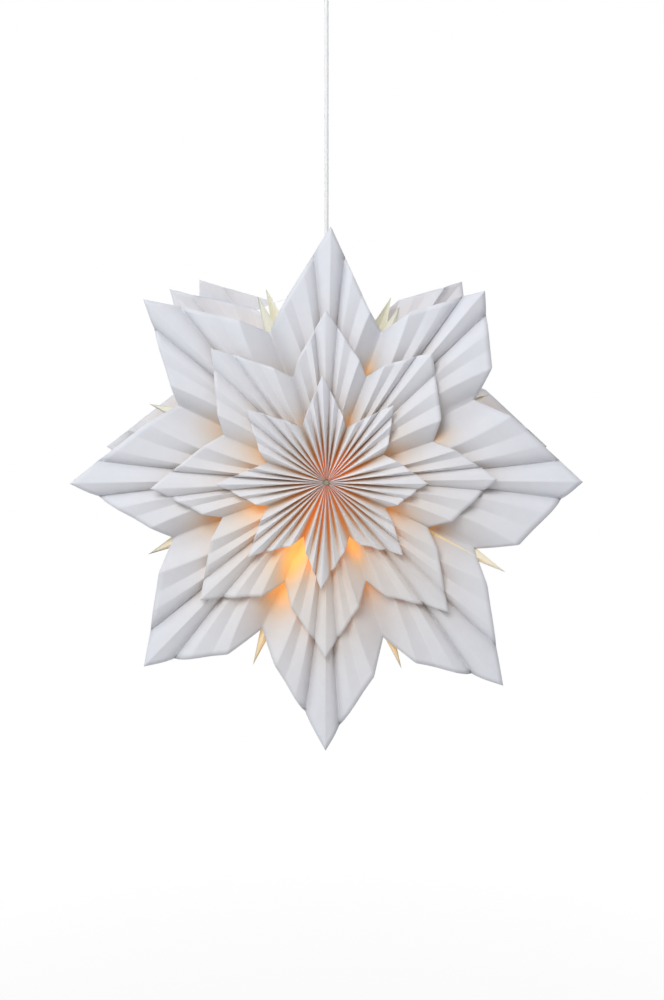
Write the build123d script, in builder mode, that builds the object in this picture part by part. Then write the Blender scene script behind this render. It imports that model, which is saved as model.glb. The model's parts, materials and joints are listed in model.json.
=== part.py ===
"""Star pendant lamp of pleated paper, hung from a ceiling plate by its cord.

Frame: the origin is the middle of the ceiling plate's upper face, +Z is up and -Y is the lamp's front.
The star is drawn about its own axis: local X across, local Y along a petal, local Z outwards to the viewer.
"""

from build123d import *
from math import acos, cos, degrees, hypot, radians, sin, tan
import os

os.makedirs("parts", exist_ok=True)

# ---------------------------------------------------------------- driving dimensions, mm

# the star
star_drop = 680.0  # ceiling to the star's axis
star_depth = 240.0  # front petal tips to back petal tips
petal_count = 8
large_tip, large_notch = 300.0, 185.0
medium_tip, medium_notch = 203.0, 131.0
small_tip, small_notch = 122.0, 70.0
lap_tip, lap_notch = 284.0, 176.0
point_tip = 229.0  # narrow points between the petals
petal_bulge = 9.0  # how far a petal's edge stands out past a straight line
sheet_at_hub = 2.0  # paper measured along the star's axis, where the pleats stand on edge
sheet_at_rim = 0.5
hub_hole = 8.0  # where the pleats end round the hub
sheet_step = 13.0  # from one sheet's pleats to the next one's, at the hub
small_lift, medium_lift = 8.0, 2.0  # how far these sheets' tips stand out past the large tips
lap_angle = -37.5  # the lapped petal's direction, from straight up
lap_turn_in = 5.0  # the lapped petal starts this far outside the medium tips
lap_pleat = 1.5

# folded paper bags between the two stars
bag_inner = 105.0
bag_middle = 140.0
bag_half_width = 8.0
bag_shoulder = 14.0
bag_paper = 0.5

# hub
hub_pin_radius = 1.5
hub_head_radius = 3.0
hub_head_height, hub_head_round = 1.6, 1.0
hub_core_face = 3.0  # how far the core stands out past the small sheet's middle plane
hub_core_tail, hub_core_chamfer = 10.0, 0.5
hub_core_web = 2.0  # solid core between the pin's hole and the wire's

# spreader wire
wire_radius = 1.2
wire_seat = 7.0

# lampholder
holder_below_axis = 20.0  # holder's rim below the star's axis
skirt_radius, skirt_height, skirt_wall = 19.5, 40.0, 1.8
dome_radius, dome_height, dome_wall = 20.5, 24.0, 2.0
dome_side, dome_flat_radius = 12.0, 11.0  # its straight side's height, and its level top
nipple_radius, nipple_height, nipple_chamfer = 6.5, 14.0, 1.0
nipple_flange, nipple_flange_height = 9.0, 3.0
nipple_tail = 4.0  # nipple inside the dome
ring_radius, ring_height = 27.0, 4.0
ring_grips, ring_grip_radius, ring_grip_depth = 24, 1.3, 0.9
insert_height, insert_rise = 9.0, 2.0  # below and above the skirt's top
terminal_offset = 8.0  # from the cord's line
terminal_radius, terminal_depth = 1.6, 5.0
terminal_head_radius, terminal_head_height = 2.6, 1.4
core_hole_offset, core_hole_depth = 5.0, 4.0
screw_shell_radius, screw_shell_height, screw_shell_wall, screw_shell_lip = 14.2, 24.0, 0.4, 3.0
tongue_left, tongue_right, tongue_tip = -7.0, 4.0, 2.5
tongue_width, tongue_wall, tongue_drop = 5.0, 0.4, 2.2

# bulb
bulb_radius, bulb_length = 30.0, 105.0
bulb_cap_radius, bulb_cap_height, bulb_cap_chamfer = 13.1, 22.0, 2.0
bulb_neck_length = 8.0  # straight glass, mostly inside the cap
bulb_shoulder = 30.0  # degrees above the globe's middle where the shoulder starts
bulb_glass_wall, bulb_cap_wall = 0.8, 0.6
cap_overlap = 2.0  # straight glass below the cap's rim
insulator_radius, insulator_rise = 8.5, 0.5
contact_radius, contact_rise, contact_seat, contact_dome = 5.0, 3.0, 1.5, 0.6
filament_count, filament_length, filament_radius, filament_circle = 4, 30.0, 0.9, 6.0
filament_rise = 21.0  # top of the filaments above the globe's middle
carrier_plate = 0.8
stem_radius, flare_rim, flare_height, stem_taper = 2.0, 1.0, 6.5, 6.0

# cord
cord_diameter = 5.0
core_radius = 0.9
core_gap = 2.6  # between the middles of its two cores
core_bend = 2.5
cord_stub = 2.0  # cord below the dome's top
bend_length = 20.0  # the short stretch between the two swing lines
swing_gap = 0.8  # between stretches of the cord that swing against each other

# ceiling fittings
plate_radius, plate_thickness = 30.0, 2.0
plate_hole_spacing, plate_hole_radius = 44.0, 2.25
hook_wire = 1.5  # radius
hook_shank, hook_entry, hook_bend = 7.0, 4.0, 6.0
eye_radius, eye_wire = 4.8, 1.3
hanger_width, hanger_thickness, hanger_height, hanger_corner = 14.0, 9.0, 18.0, 2.0
block_x, block_z = 24.0, -42.0  # terminal block, beside the hanger
block_width, block_length, block_height, block_corner = 12.0, 16.0, 12.0, 1.5
block_pitch = 8.0
block_screw_radius, block_screw_length = 1.8, 2.5
lead_straight, lead_jog, lead_bend = 4.0, 2.0, 1.2  # the cores' way into the block
cup_radius, cup_height, cup_wall = 50.0, 64.0, 1.6
cup_taper, cup_side_drop = 3.0, 29.0  # the cup's side, then its rounding, then its slope to the mouth
cup_round, cup_round_drop = 12.0, 48.0
cup_mouth_radius = 12.0
cup_travel = 30.0
grommet_length, grommet_radius, grommet_flange = 12.0, 5.0, 1.5
grommet_lip, grommet_lip_height = 2.0, 3.0

# small screws that grip the cord, and screwdriver slots
grip_screw_radius, grip_screw_stand = 1.5, 1.5
grip_screw_below = 5.0  # below the nipple's top
slot_width, slot_depth = 0.5, 0.6

# clearances
fit = 0.3  # faces that lie against each other
running = 0.05  # a rod in its own hole

# ---------------------------------------------------------------- values that follow

half_petal = 180.0 / petal_count
cord_radius = cord_diameter / 2
star_z = -star_drop
front_frame = Plane(origin=(0, 0, star_z), x_dir=(1, 0, 0), z_dir=(0, -1, 0))
back_frame = Plane(origin=(0, 0, star_z), x_dir=(-1, 0, 0), z_dir=(0, 1, 0))

# Each fold of half a petal: its direction from the petal's middle in degrees, and how far it lies in from the
# sheet's middle plane, at the hub and at the tip. Ridges are negative.
folds = [
    (0.0, -5.0, -1.5),
    (3.9, 5.0, 8.0),
    (7.5, -5.0, -1.0),
    (11.0, 5.0, -2.0),
    (15.0, -5.0, -5.0),
    (half_petal, 5.0, 12.0),
]
deepest_fold = max(hub_depth for angle, hub_depth, tip_depth in folds)


def whole_petal(half):
    """The folds from one notch to the other, made by turning half a petal's folds over."""
    other_half = [(-angle, hub, tip) for angle, hub, tip in half[:0:-1]]
    return other_half + half


def straight_reach(tip, notch, angle):
    """Distance from the axis to the line from tip to notch, in a direction `angle` from the tip."""
    run = notch * sin(radians(half_petal))
    drop = tip - notch * cos(radians(half_petal))
    return tip * run / (run * cos(radians(angle)) + drop * sin(radians(angle)))


def petal_reach(tip, notch, angle):
    """Distance from the axis to the petal's edge, which bulges between its tip and its notch."""
    return straight_reach(tip, notch, angle) + petal_bulge * sin(radians(180 * angle / half_petal))


def between(start, end, share):
    return start + (end - start) * share


def petal_blank(tip, notch, hub_middle, tip_middle, fold_rows):
    """One pleated petal: a zigzag lofted from the hub out past the tip, then cut to the petal's outline."""
    rows = whole_petal(fold_rows)
    with BuildPart() as petal:
        for height, column, middle, sheet in (
            (hub_hole, 1, hub_middle, sheet_at_hub),
            (tip, 2, tip_middle, sheet_at_rim),
        ):
            outer = [(height * tan(radians(row[0])), middle + row[column]) for row in rows]
            inner = [(x, depth + sheet) for x, depth in reversed(outer)]
            plane = Plane(origin=(0, height, star_depth / 2), x_dir=(1, 0, 0), z_dir=(0, 1, 0))
            with BuildSketch(plane):
                with BuildLine():
                    Polyline(*outer, *inner, close=True)
                make_face()
        loft(ruled=True)

        edge = [
            (reach * sin(radians(angle)), reach * cos(radians(angle)))
            for angle in [row[0] for row in rows]
            for reach in [petal_reach(tip, notch, abs(angle))]
        ]
        overshoot = (edge[-1][0] - edge[-2][0], edge[-1][1] - edge[-2][1])
        last = (edge[-1][0] + overshoot[0], edge[-1][1] + overshoot[1])
        with BuildSketch(Plane.XY):
            with BuildLine():
                Polyline(
                    (-last[0], last[1]),
                    *edge,
                    last,
                    (2 * last[0], last[1]),
                    (2 * last[0], 2 * tip),
                    (-2 * last[0], 2 * tip),
                    (-2 * last[0], last[1]),
                    close=True,
                )
            make_face()
        extrude(amount=star_depth, both=True, mode=Mode.SUBTRACT)
    return petal.part


def rosette_blank(tip, notch, hub_middle, tip_middle):
    """A whole pleated sheet: the petal repeated round the axis."""
    petal = petal_blank(tip, notch, hub_middle, tip_middle, folds)
    with BuildPart() as rosette:
        with PolarLocations(0, petal_count):
            add(petal)
    return rosette.part


def turned(*outline):
    """A round piece about the cord's line, from (radius, height) points."""
    with BuildPart() as piece:
        with BuildSketch(Plane.XZ):
            with BuildLine():
                Polyline(*outline, close=True)
            make_face()
        revolve(axis=Axis.Z)
    return piece.part


# ---------------------------------------------------------------- the star's sheets

small_hub_middle = 0.0
medium_hub_middle = small_hub_middle + sheet_step
large_hub_middle = medium_hub_middle + sheet_step

small_sheet = rosette_blank(small_tip, small_notch, small_hub_middle, -small_lift)
medium_sheet = rosette_blank(medium_tip, medium_notch, medium_hub_middle, -medium_lift)
large_sheet = rosette_blank(large_tip, large_notch, large_hub_middle, 0.0)

with BuildPart(front_frame) as front_small_rosette:
    add(small_sheet)
with BuildPart(front_frame) as front_medium_rosette:
    add(medium_sheet)
with BuildPart(front_frame) as front_large_rosette:
    add(large_sheet)
with BuildPart(back_frame) as back_small_rosette:
    add(small_sheet)
with BuildPart(back_frame) as back_medium_rosette:
    add(medium_sheet)
with BuildPart(back_frame) as back_large_rosette:
    add(large_sheet)


def large_middle(height):
    """Depth of the large sheet's middle plane, at a height along the petal."""
    return between(large_hub_middle, 0.0, (height - hub_hole) / (large_tip - hub_hole))


# The lapped petal lies ridge on ridge on the back large sheet, outside the medium sheet's tips.
lap_start = medium_tip + lap_turn_in
lap_folds = []
for angle, hub_depth, tip_depth in folds:
    depth = lap_pleat if hub_depth > 0 else -lap_pleat
    lap_folds.append((angle, depth, depth))
lap_standoff = deepest_fold + fit + sheet_at_rim - lap_pleat
with BuildPart(back_frame) as back_lapped_petal:
    with Locations(Location((0, 0, 0), (0, 0, lap_angle))):
        add(
            petal_blank(
                lap_tip,
                lap_notch,
                large_middle(hub_hole) - lap_standoff - sheet_at_hub,
                large_middle(lap_tip) - lap_standoff,
                lap_folds,
            )
        )
    with Locations(Location((0, 0, star_depth / 2))):
        Cylinder(radius=lap_start, height=star_depth, mode=Mode.SUBTRACT)

# ---------------------------------------------------------------- folded bags between the stars


def valley_back(radius):
    """Depth of the large sheet's back face along its notch valley, at a distance from the axis."""
    height = radius * cos(radians(half_petal))
    share = (height - hub_hole) / (large_tip - hub_hole)
    hub_side = large_hub_middle + folds[-1][1] + sheet_at_hub
    tip_side = folds[-1][2] + sheet_at_rim
    return between(hub_side, tip_side, share)


def bag_half_depth(radius):
    return star_depth / 2 - valley_back(radius) - fit


def bag_loft(paper):
    """A long flat hexagon across the star's depth, lofted outwards from the bag's inner end to its points."""
    with BuildPart() as bag:
        for radius in (bag_inner, point_tip):
            ridge = bag_half_depth(radius)
            apex = ridge - paper * hypot(bag_half_width, bag_shoulder) / bag_half_width
            side = bag_half_width - paper
            shoulder = apex - (apex - (ridge - bag_shoulder)) * side / bag_half_width
            with BuildSketch(Plane(origin=(0, radius, 0), x_dir=(1, 0, 0), z_dir=(0, 1, 0))):
                with BuildLine():
                    Polyline(
                        (0, apex),
                        (side, shoulder),
                        (side, -shoulder),
                        (0, -apex),
                        (-side, -shoulder),
                        (-side, shoulder),
                        close=True,
                    )
                make_face()
        loft(ruled=True)
    return bag.part


with BuildPart() as bag_blank:
    add(bag_loft(0.0))
    add(bag_loft(bag_paper), mode=Mode.SUBTRACT)
    tip_depth = bag_half_depth(point_tip)
    notch_depth = bag_half_depth(large_notch) - bag_shoulder
    with BuildSketch(Plane.YZ):
        with BuildLine():
            Polyline(
                (point_tip, tip_depth),
                (large_notch, notch_depth),
                (bag_middle, 0),
                (large_notch, -notch_depth),
                (point_tip, -tip_depth),
                (point_tip + bag_inner, -tip_depth),
                (point_tip + bag_inner, tip_depth),
                close=True,
            )
        make_face()
    extrude(amount=2 * bag_half_width, both=True, mode=Mode.SUBTRACT)

bags = []
for number in range(petal_count):
    with BuildPart(front_frame) as folded_bag:
        with Locations(Location((0, 0, 0), (0, 0, half_petal + number * 360 / petal_count))):
            add(bag_blank.part)
    folded_bag.part.label = f"folded_bag_{number + 1}"
    bags.append(folded_bag.part)

# ---------------------------------------------------------------- hubs and spreader wire

core_radius_at_hub = hub_hole - fit
core_front = star_depth / 2 + hub_core_face
core_back = star_depth / 2 - large_hub_middle - deepest_fold - sheet_at_hub - hub_core_tail
pin_hole_depth = core_front - core_back - wire_seat - hub_core_web

with BuildPart() as hub_core_blank:
    with BuildSketch(Plane.XY.offset(core_back)):
        Circle(core_radius_at_hub)
    extrude(amount=core_front - core_back)
    chamfer(hub_core_blank.edges().group_by(Axis.Z)[-1], hub_core_chamfer)
    with BuildSketch(Plane.XY.offset(core_back)):
        Circle(wire_radius + running)
    extrude(amount=wire_seat + fit, mode=Mode.SUBTRACT)
    with BuildSketch(Plane.XY.offset(core_front)):
        Circle(hub_pin_radius + running)
    extrude(amount=-pin_hole_depth, mode=Mode.SUBTRACT)

with BuildPart() as hub_pin_blank:
    with BuildSketch(Plane.XY.offset(core_front)):
        Circle(hub_head_radius)
    extrude(amount=hub_head_height)
    fillet(hub_pin_blank.edges().group_by(Axis.Z)[-1], hub_head_round)
    with BuildSketch(Plane.XY.offset(core_front)):
        Circle(hub_pin_radius)
    extrude(amount=-(pin_hole_depth - fit))

with BuildPart(front_frame) as front_hub_core:
    add(hub_core_blank.part)
with BuildPart(front_frame) as front_hub_pin:
    add(hub_pin_blank.part)
with BuildPart(back_frame) as back_hub_core:
    add(hub_core_blank.part)
with BuildPart(back_frame) as back_hub_pin:
    add(hub_pin_blank.part)

rim_z = star_z - holder_below_axis
wire_ring_radius = skirt_radius + fit + wire_radius
with BuildPart(front_frame) as spreader_wire:
    with Locations(Location((0, 0, 0), (90, 0, 0))):
        Torus(wire_ring_radius, wire_radius)
    for side in (1, -1):
        with BuildSketch(front_frame.offset(side * wire_ring_radius)):
            Circle(wire_radius)
        extrude(amount=side * (core_back + wire_seat - wire_ring_radius))

# ---------------------------------------------------------------- lampholder

skirt_top = rim_z + skirt_height
dome_top = skirt_top + dome_height
nipple_top = dome_top + nipple_height
insert_base = skirt_top - insert_height
insert_top = skirt_top + insert_rise
insert_radius = skirt_radius - skirt_wall - fit

with BuildPart() as holder_skirt:
    add(
        turned(
            (skirt_radius - skirt_wall, rim_z),
            (skirt_radius, rim_z),
            (skirt_radius, skirt_top - fit),
            (skirt_radius - skirt_wall, skirt_top - fit),
        )
    )

with BuildPart() as holder_dome:
    add(
        turned(
            (nipple_radius + running, dome_top),
            (dome_flat_radius, dome_top),
            (dome_radius, skirt_top + dome_side),
            (dome_radius, skirt_top),
            (dome_radius - dome_wall, skirt_top),
            (dome_radius - dome_wall, skirt_top + dome_side - dome_wall / 2),
            (dome_flat_radius - dome_wall / 2, dome_top - dome_wall),
            (nipple_radius + running, dome_top - dome_wall),
        )
    )

nipple_bottom = dome_top - dome_wall - nipple_tail
grip_screw_z = nipple_top - grip_screw_below
with BuildPart() as holder_nipple:
    add(
        turned(
            (cord_radius + running, nipple_top),
            (nipple_radius - nipple_chamfer, nipple_top),
            (nipple_radius, nipple_top - nipple_chamfer),
            (nipple_radius, dome_top + fit + nipple_flange_height),
            (nipple_flange, dome_top + fit + nipple_flange_height),
            (nipple_flange, dome_top + fit),
            (nipple_radius, dome_top + fit),
            (nipple_radius, nipple_bottom),
            (cord_radius + running, nipple_bottom),
        )
    )
    with BuildSketch(Plane.YZ.offset(nipple_radius)):
        with Locations((0, grip_screw_z)):
            Circle(grip_screw_radius + running)
    extrude(amount=-(nipple_radius - cord_radius), mode=Mode.SUBTRACT)


def grip_screw(outside, height):
    """A headless screw that presses on the cord from the +X side, standing a little out of its hole."""
    with BuildPart() as screw:
        with BuildSketch(Plane.YZ.offset(outside + grip_screw_stand)):
            with Locations((0, height)):
                Circle(grip_screw_radius)
        extrude(amount=-(outside + grip_screw_stand - cord_radius - fit))
        with BuildSketch(Plane.YZ.offset(outside + grip_screw_stand)):
            with Locations((0, height)):
                Rectangle(3 * grip_screw_radius, slot_width)
        extrude(amount=-slot_depth, mode=Mode.SUBTRACT)
    return screw.part


with BuildPart() as nipple_screw:
    add(grip_screw(nipple_radius, grip_screw_z))

terminal_spots = [(terminal_offset, 0), (-terminal_offset, 0)]
with BuildPart() as holder_insert:
    add(
        turned(
            (0, insert_base),
            (insert_radius, insert_base),
            (insert_radius, insert_top),
            (0, insert_top),
        )
    )
    with BuildSketch(Plane.XY.offset(insert_top)):
        with Locations(*terminal_spots):
            Circle(terminal_radius + running)
    extrude(amount=-terminal_depth, mode=Mode.SUBTRACT)
    with BuildSketch(Plane.XY.offset(insert_top)):
        with Locations((terminal_offset, core_hole_offset), (-terminal_offset, core_hole_offset)):
            Circle(core_radius + running)
    extrude(amount=-core_hole_depth, mode=Mode.SUBTRACT)

with BuildPart() as holder_terminal_screws:
    with BuildSketch(Plane.XY.offset(insert_top - terminal_depth + fit)):
        with Locations(*terminal_spots):
            Circle(terminal_radius)
    extrude(amount=terminal_depth)
    with BuildSketch(Plane.XY.offset(insert_top + fit)):
        with Locations(*terminal_spots):
            Circle(terminal_head_radius)
    extrude(amount=terminal_head_height)
    with BuildSketch(Plane.XY.offset(insert_top + fit + terminal_head_height)):
        with Locations(*terminal_spots):
            Rectangle(3 * terminal_head_radius, slot_width)
    extrude(amount=-slot_depth, mode=Mode.SUBTRACT)

shell_top = insert_base - fit
with BuildPart() as holder_screw_shell:
    add(
        turned(
            (screw_shell_radius, shell_top - screw_shell_height),
            (screw_shell_radius + screw_shell_wall, shell_top - screw_shell_height),
            (screw_shell_radius + screw_shell_wall, shell_top),
            (screw_shell_radius - screw_shell_lip, shell_top),
            (screw_shell_radius - screw_shell_lip, shell_top - screw_shell_wall),
            (screw_shell_radius, shell_top - screw_shell_wall),
        )
    )

# A flat leaf against the insert, folded back under itself into the springy tongue.
with BuildPart() as holder_centre_contact:
    with BuildSketch(Plane.XZ):
        with BuildLine():
            Polyline(
                (tongue_left, shell_top),
                (tongue_right, shell_top),
                (tongue_right, shell_top - tongue_wall),
                (tongue_left + 2 * tongue_wall, shell_top - tongue_wall),
                (tongue_tip, shell_top - tongue_drop),
                (tongue_tip, shell_top - tongue_drop - tongue_wall),
                (tongue_left, shell_top - 2 * tongue_wall),
                close=True,
            )
        make_face()
    extrude(amount=tongue_width / 2, both=True)

cord_end = dome_top - cord_stub
with BuildPart() as holder_cores:
    for side in (1, -1):
        core_start = (side * core_gap / 2, 0, cord_end - fit)
        with BuildLine():
            FilletPolyline(
                core_start,
                (side * core_gap / 2, 0, nipple_bottom - core_bend),
                (side * terminal_offset, core_hole_offset, insert_top + core_hole_offset),
                (side * terminal_offset, core_hole_offset, insert_top - core_hole_depth + fit),
                radius=core_bend,
            )
        with BuildSketch(Plane(origin=core_start, z_dir=(0, 0, -1))):
            Circle(core_radius)
        sweep()


def shade_ring(top):
    """A threaded ring that turns on the skirt, with grips cut round its rim."""
    with BuildPart() as ring:
        with BuildSketch(Plane.XY.offset(top - ring_height)):
            Circle(ring_radius)
            Circle(skirt_radius + running, mode=Mode.SUBTRACT)
            with PolarLocations(ring_radius + ring_grip_radius - ring_grip_depth, ring_grips):
                Circle(ring_grip_radius, mode=Mode.SUBTRACT)
        extrude(amount=ring_height)
    return ring.part


with BuildPart() as upper_shade_ring:
    add(shade_ring(star_z + wire_radius + fit + ring_height))
with BuildPart() as lower_shade_ring:
    add(shade_ring(star_z - wire_radius - fit))

# ---------------------------------------------------------------- bulb

contact_z = shell_top - tongue_drop - tongue_wall - fit
cap_top = contact_z - contact_rise
cap_bottom = cap_top - bulb_cap_height
neck_radius = bulb_cap_radius - bulb_cap_wall - fit
neck_base = cap_bottom - cap_overlap
neck_z = neck_base + bulb_neck_length
bulb_bottom = contact_z - bulb_length
globe_z = bulb_bottom + bulb_radius
filament_top = globe_z + filament_rise
filament_bottom = filament_top - filament_length


def glass_outline(inset):
    """Half the bulb's outline: a globe that runs up into the neck along a smooth shoulder."""
    globe = bulb_radius - inset
    neck = neck_radius - inset
    leave = radians(bulb_shoulder)
    with BuildSketch(Plane.XZ) as outline:
        with BuildLine():
            CenterArc((0, globe_z), globe, -90, 90 + bulb_shoulder)
            Spline(
                (globe * cos(leave), globe_z + globe * sin(leave)),
                (neck, neck_base),
                tangents=((-sin(leave), cos(leave)), (0, 1)),
            )
            Polyline((neck, neck_base), (neck, neck_z), (0, neck_z), (0, globe_z - globe))
        make_face()
    return outline.sketch


with BuildPart() as bulb_glass:
    add(glass_outline(0.0))
    revolve(axis=Axis.Z)
    add(glass_outline(bulb_glass_wall))
    revolve(axis=Axis.Z, mode=Mode.SUBTRACT)

with BuildPart() as bulb_stem:
    flare = neck_radius - bulb_glass_wall - fit
    carrier = filament_circle + 2 * filament_radius
    add(
        turned(
            (0, neck_z - fit),
            (flare, neck_z - fit),
            (flare, neck_z - fit - flare_rim),
            (2 * stem_radius, neck_z - fit - flare_rim - flare_height),
            (stem_radius, neck_z - fit - flare_rim - flare_height - stem_taper),
            (stem_radius, filament_top + carrier_plate),
            (carrier, filament_top + carrier_plate),
            (carrier, filament_top),
            (stem_radius / 2, filament_top),
            (stem_radius / 2, filament_bottom),
            (carrier, filament_bottom),
            (carrier, filament_bottom - carrier_plate),
            (0, filament_bottom - carrier_plate),
        )
    )

with BuildPart() as bulb_filaments:
    with BuildSketch(Plane.XY.offset(filament_bottom + running)):
        with PolarLocations(filament_circle, filament_count):
            Circle(filament_radius)
    extrude(amount=filament_length - 2 * running)

with BuildPart() as bulb_cap:
    add(
        turned(
            (bulb_cap_radius - bulb_cap_wall, cap_bottom),
            (bulb_cap_radius, cap_bottom),
            (bulb_cap_radius, cap_top - bulb_cap_chamfer),
            (insulator_radius + fit, cap_top),
            (insulator_radius + fit, cap_top - bulb_cap_wall),
            (bulb_cap_radius - bulb_cap_wall, cap_top - bulb_cap_chamfer - bulb_cap_wall),
        )
    )

with BuildPart() as bulb_insulator:
    add(
        turned(
            (contact_radius + running, cap_top - contact_seat),
            (insulator_radius, cap_top - contact_seat),
            (insulator_radius, cap_top + insulator_rise),
            (contact_radius + running, contact_z - contact_dome - fit),
        )
    )

with BuildPart() as bulb_contact:
    add(
        turned(
            (0, cap_top - contact_seat),
            (contact_radius, cap_top - contact_seat),
            (contact_radius, contact_z - contact_dome),
            (contact_radius / 2, contact_z),
            (0, contact_z),
        )
    )

# ---------------------------------------------------------------- ceiling plate, hook and cord hanger

hook_entry_turn = degrees(acos(hook_entry / (hook_entry + hook_bend)))
hook_middle_z = -hook_shank - (hook_entry + hook_bend) * sin(radians(hook_entry_turn))
hook_low_z = hook_middle_z - hook_bend
eye_top_z = hook_low_z + hook_wire + fit + eye_wire
eye_z = eye_top_z - eye_radius
hanger_top = eye_z - eye_radius
hanger_bottom = hanger_top - hanger_height
cord_start = hanger_bottom + hanger_height / 2

with BuildPart() as ceiling_plate:
    with BuildSketch(Plane.XY):
        Circle(plate_radius)
        Circle(hook_wire + running, mode=Mode.SUBTRACT)
        with Locations((plate_hole_spacing / 2, 0), (-plate_hole_spacing / 2, 0)):
            Circle(plate_hole_radius, mode=Mode.SUBTRACT)
    extrude(amount=-plate_thickness)

with BuildPart() as ceiling_hook:
    with BuildLine(Plane.XZ):
        shank = Line((0, 0), (0, -hook_shank))
        entry = JernArc(shank @ 1, shank % 1, hook_entry, hook_entry_turn)
        JernArc(entry @ 1, entry % 1, hook_bend, -(hook_entry_turn + 180))
    with BuildSketch(Plane.XY):
        Circle(hook_wire)
    sweep()

with BuildPart() as cord_hanger:
    with BuildSketch(Plane.XY.offset(hanger_bottom)):
        RectangleRounded(hanger_width, hanger_thickness, hanger_corner)
    extrude(amount=hanger_height)
    with Locations(Location((0, 0, eye_z), (0, 90, 0))):
        Torus(eye_radius, eye_wire)
    with BuildSketch(Plane.XY.offset(hanger_bottom)):
        Circle(cord_radius + running)
    extrude(amount=hanger_height / 2 + fit, mode=Mode.SUBTRACT)
    with BuildSketch(Plane.YZ):
        with Locations((0, cord_start + core_radius + fit)):
            Rectangle(3 * core_radius + core_gap, 3 * core_radius)
    extrude(amount=hanger_width, mode=Mode.SUBTRACT)

block_left = block_x - block_width / 2
block_middle_z = block_z + block_height / 2
block_spots = [(block_x, block_pitch / 2), (block_x, -block_pitch / 2)]
with BuildPart() as terminal_block:
    with BuildSketch(Plane.XY.offset(block_z)):
        with Locations((block_x, 0)):
            RectangleRounded(block_width, block_length, block_corner)
    extrude(amount=block_height)
    with BuildSketch(Plane.YZ.offset(block_left)):
        with Locations((block_pitch / 2, block_middle_z), (-block_pitch / 2, block_middle_z)):
            Circle(core_radius + running)
    extrude(amount=block_width / 2, mode=Mode.SUBTRACT)
    with BuildSketch(Plane.XY.offset(block_z + block_height)):
        with Locations(*block_spots):
            Circle(block_screw_radius + running)
    extrude(amount=-(block_screw_length + fit), mode=Mode.SUBTRACT)

with BuildPart() as terminal_screws:
    with BuildSketch(Plane.XY.offset(block_z + block_height)):
        with Locations(*block_spots):
            Circle(block_screw_radius)
    extrude(amount=-block_screw_length)
    with BuildSketch(Plane.XY.offset(block_z + block_height)):
        with Locations(*block_spots):
            Rectangle(3 * block_screw_radius, slot_width)
    extrude(amount=-slot_depth, mode=Mode.SUBTRACT)

lead_z = cord_start + core_radius + fit
with BuildPart() as ceiling_cores:
    for side in (1, -1):
        lead_y = side * core_gap / 2
        with BuildLine():
            FilletPolyline(
                (0, lead_y, lead_z),
                (block_left - lead_straight - lead_jog, lead_y, lead_z),
                (block_left - lead_straight, side * block_pitch / 2, block_middle_z),
                (block_x - fit - running, side * block_pitch / 2, block_middle_z),
                radius=lead_bend,
            )
        with BuildSketch(Plane(origin=(0, lead_y, lead_z), z_dir=(1, 0, 0))):
            Circle(core_radius)
        sweep()

# ---------------------------------------------------------------- ceiling cup, which slides down the cord

cup_top = -fit
cup_bottom = cup_top - cup_height
grommet_bottom = cup_bottom - grommet_length

with BuildPart() as ceiling_cup:
    add(
        turned(
            (cup_radius - cup_wall, cup_top),
            (cup_radius, cup_top),
            (cup_radius - cup_taper, cup_top - cup_side_drop),
            (cup_radius - cup_round, cup_top - cup_round_drop),
            (cup_mouth_radius, cup_bottom),
            (grommet_radius + running, cup_bottom),
            (grommet_radius + running, cup_bottom + cup_wall),
            (cup_mouth_radius - cup_wall / 2, cup_bottom + cup_wall),
            (cup_radius - cup_round - cup_wall, cup_top - cup_round_drop + cup_wall / 2),
            (cup_radius - cup_taper - cup_wall, cup_top - cup_side_drop),
        )
    )

lip_z = cup_bottom + cup_wall + fit
cup_screw_z = cup_bottom - grommet_length / 4
with BuildPart() as cup_grommet:
    add(
        turned(
            (cord_radius + running, grommet_bottom),
            (grommet_radius - grommet_flange, grommet_bottom),
            (grommet_radius + grommet_flange, cup_bottom - grommet_length / 2),
            (grommet_radius + grommet_flange, cup_bottom - fit),
            (grommet_radius, cup_bottom - fit),
            (grommet_radius, lip_z),
            (grommet_radius + grommet_lip, lip_z),
            (grommet_radius + grommet_lip, lip_z + grommet_lip_height),
            (cord_radius + running, lip_z + grommet_lip_height),
        )
    )
    with BuildSketch(Plane.YZ.offset(grommet_radius + grommet_flange)):
        with Locations((0, cup_screw_z)):
            Circle(grip_screw_radius + running)
    extrude(amount=-(grommet_radius + grommet_flange - cord_radius), mode=Mode.SUBTRACT)

with BuildPart() as cup_grip_screw:
    add(grip_screw(grommet_radius + grommet_flange, cup_screw_z))

# ---------------------------------------------------------------- cord

bend_top = grommet_bottom - cup_travel - cord_diameter
bend_bottom = bend_top - bend_length


def cord_stretch(top, bottom):
    with BuildPart() as stretch:
        with BuildSketch(Plane.XY.offset(bottom)):
            Circle(cord_radius)
        extrude(amount=top - bottom)
    return stretch.part


with BuildPart() as cord_upper:
    add(cord_stretch(cord_start, bend_top + swing_gap / 2))
with BuildPart() as cord_bend:
    add(cord_stretch(bend_top - swing_gap / 2, bend_bottom + swing_gap / 2))
with BuildPart() as cord_free:
    add(cord_stretch(bend_bottom - swing_gap / 2, cord_end))

# ---------------------------------------------------------------- write the pieces

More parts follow.
